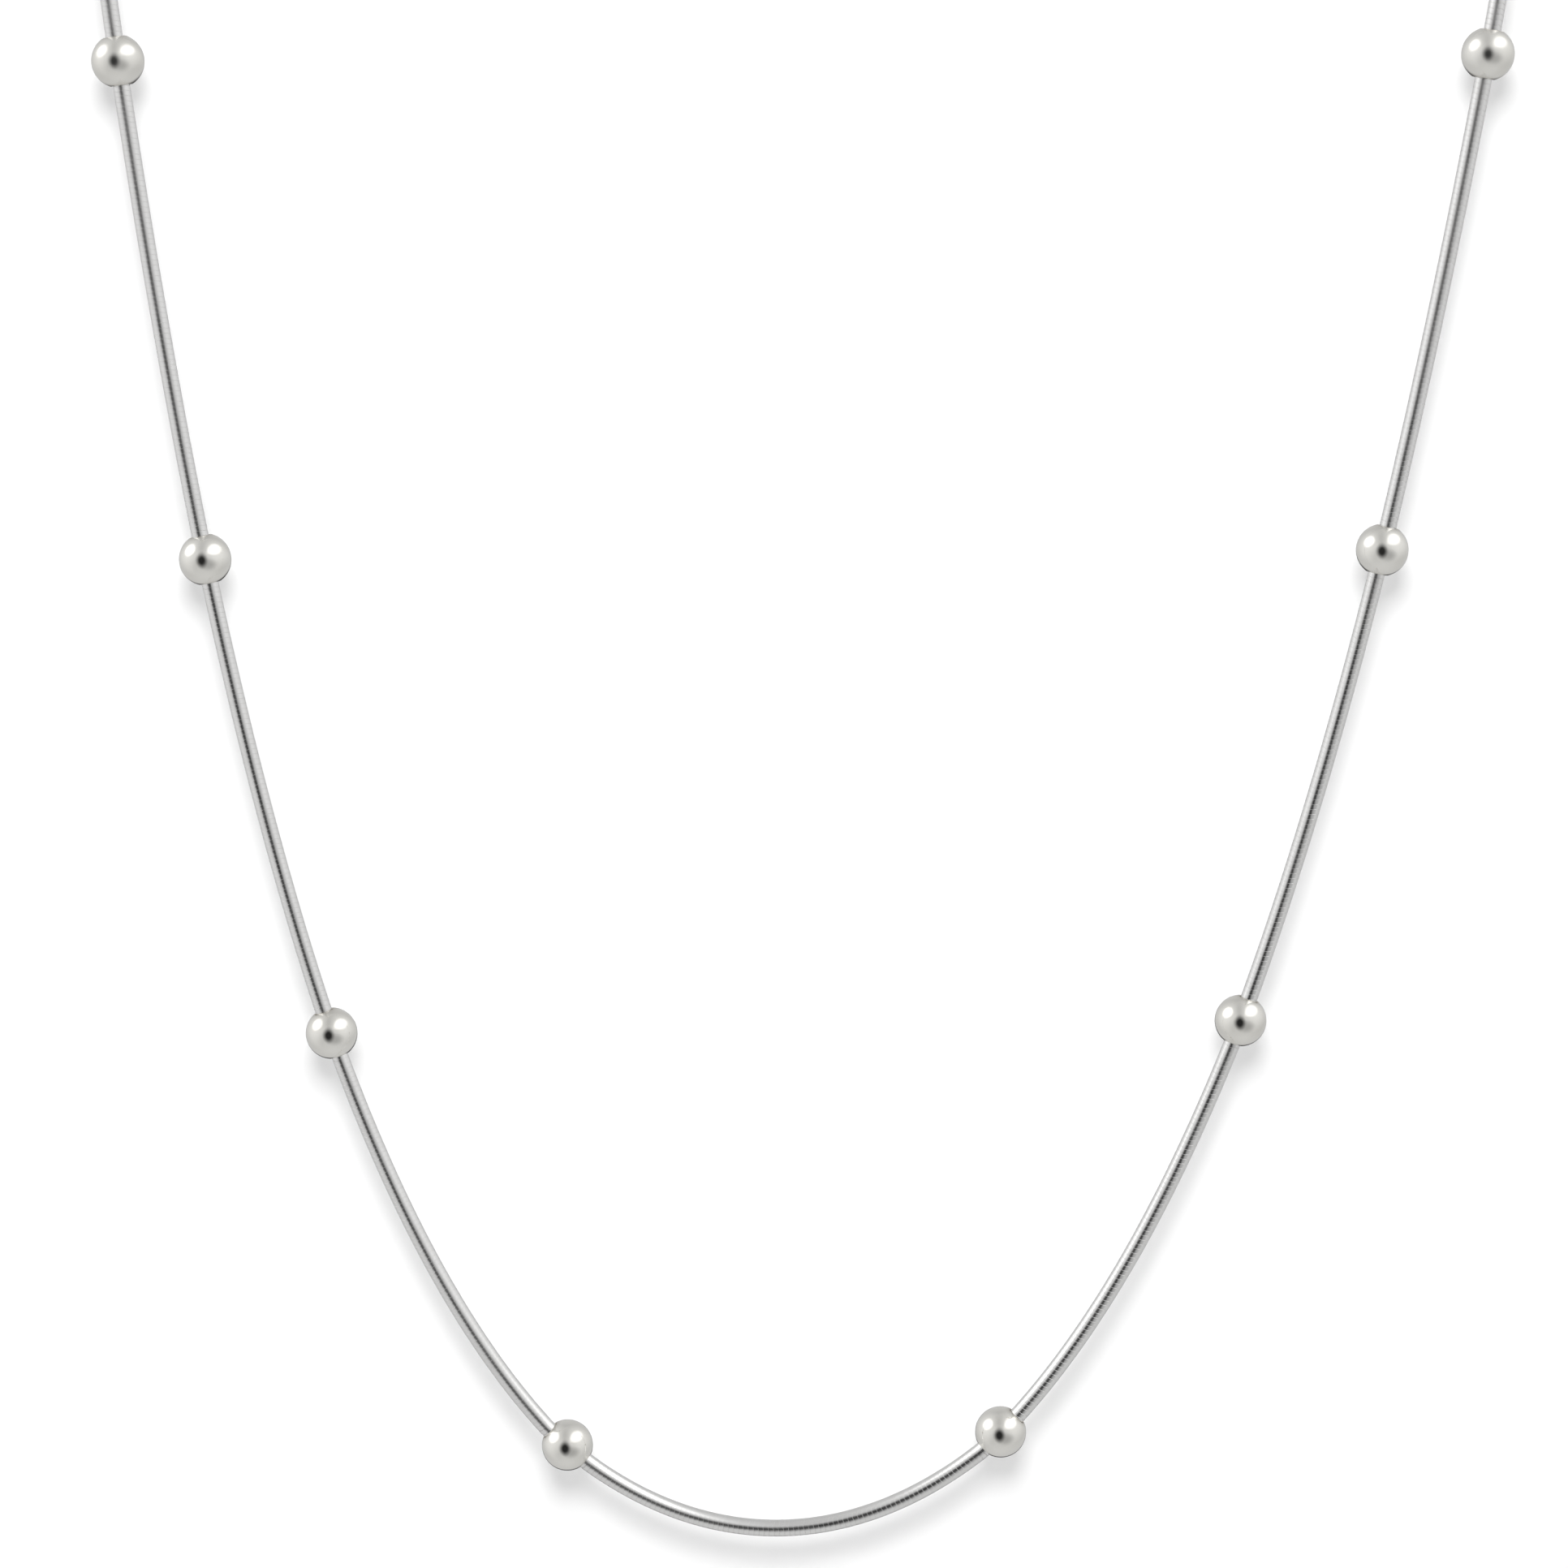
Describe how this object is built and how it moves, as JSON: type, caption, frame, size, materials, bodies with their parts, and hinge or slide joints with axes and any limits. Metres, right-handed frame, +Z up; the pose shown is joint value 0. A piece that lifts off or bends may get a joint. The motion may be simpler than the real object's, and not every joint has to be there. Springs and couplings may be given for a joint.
{
  "type": "station necklace",
  "caption": "Station necklace: a fine round silver chain threaded through plain polished balls at even steps, closed at the nape by a barrel clasp, in the form in which it hangs.",
  "frame": {"origin": "where the inner side of the clasp rests against the nape, at the top of the loop", "axes": "+Z up, the front of the necklace faces -Y, +X to the right as seen from the front"},
  "size_m": [0.1071, 0.0916, 0.1473],
  "materials": {
    "chain_silver": "polished silver",
    "ball_silver": "polished silver",
    "clasp_silver": "polished silver"
  },
  "bodies": {
    "root": {"chain": "chain_silver", "clasp": "clasp_silver", "ball_01": "ball_silver", "ball_02": "ball_silver", "ball_03": "ball_silver", "ball_04": "ball_silver", "ball_05": "ball_silver", "ball_06": "ball_silver", "ball_07": "ball_silver", "ball_08": "ball_silver", "ball_09": "ball_silver", "ball_10": "ball_silver", "ball_11": "ball_silver", "ball_12": "ball_silver"}
  },
  "joints": []
}
